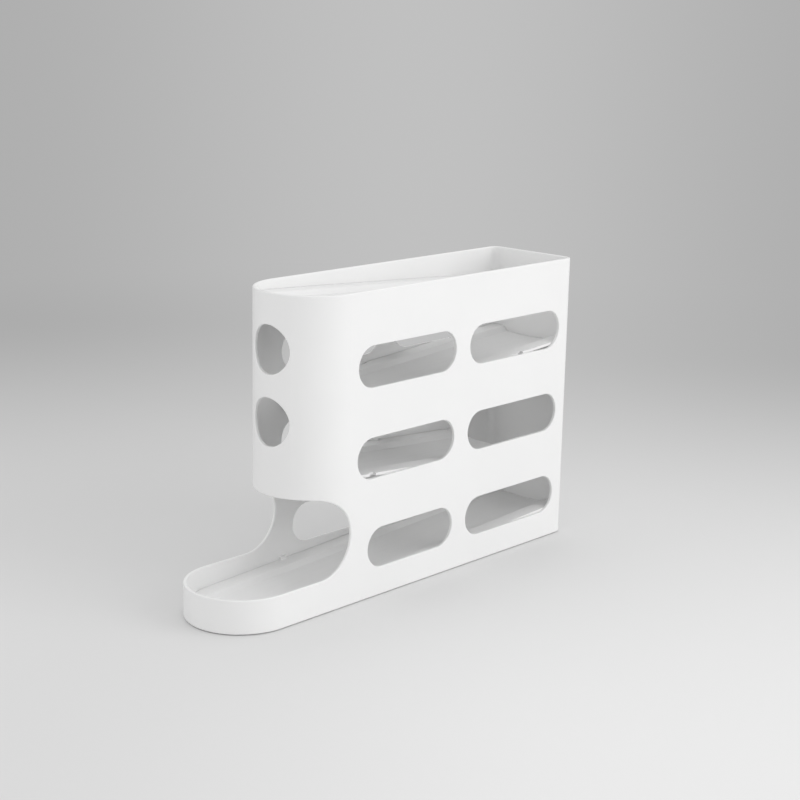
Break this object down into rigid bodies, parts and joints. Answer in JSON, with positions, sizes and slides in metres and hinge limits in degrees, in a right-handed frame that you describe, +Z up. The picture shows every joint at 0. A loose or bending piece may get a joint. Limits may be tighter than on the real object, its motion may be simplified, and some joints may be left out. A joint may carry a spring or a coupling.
{
  "type": "rolling egg dispenser",
  "caption": "Tall narrow open-top egg rack with stacked zigzag ramps, slotted side walls, round nose windows and a low front tray; eggs roll down to the tray.",
  "frame": {"origin": "under the middle of the object, on the floor", "axes": "+Z up, +Y towards the flat back, -Y towards the tray nose, +X to the side"},
  "size_m": [0.081, 0.351, 0.225],
  "materials": {
    "housing": "satin",
    "ramp": "satin",
    "foot": "matte"
  },
  "bodies": {
    "frame": {"housing": "housing", "base_ramp": "ramp", "foot_1": "foot", "foot_2": "foot", "foot_3": "foot", "foot_4": "foot", "foot_5": "foot", "foot_6": "foot"},
    "top": {"top_ramp": "ramp"},
    "second": {"second_ramp": "ramp"},
    "third": {"third_ramp": "ramp"}
  },
  "joints": [
    {"name": "top_ramp_lift", "type": "slide", "parent": "frame", "child": "top", "axis": [0, 0, 1], "range_m": [0, 0.25]},
    {"name": "second_ramp_lift", "type": "slide", "parent": "frame", "child": "second", "axis": [0, 0, 1], "range_m": [0, 0.2]},
    {"name": "third_ramp_lift", "type": "slide", "parent": "frame", "child": "third", "axis": [0, 0, 1], "range_m": [0, 0.1625]}
  ],
  "couplings": [
    {"joint": "second_ramp_lift", "follows": "top_ramp_lift", "ratio": 0.8},
    {"joint": "third_ramp_lift", "follows": "top_ramp_lift", "ratio": 0.65}
  ]
}
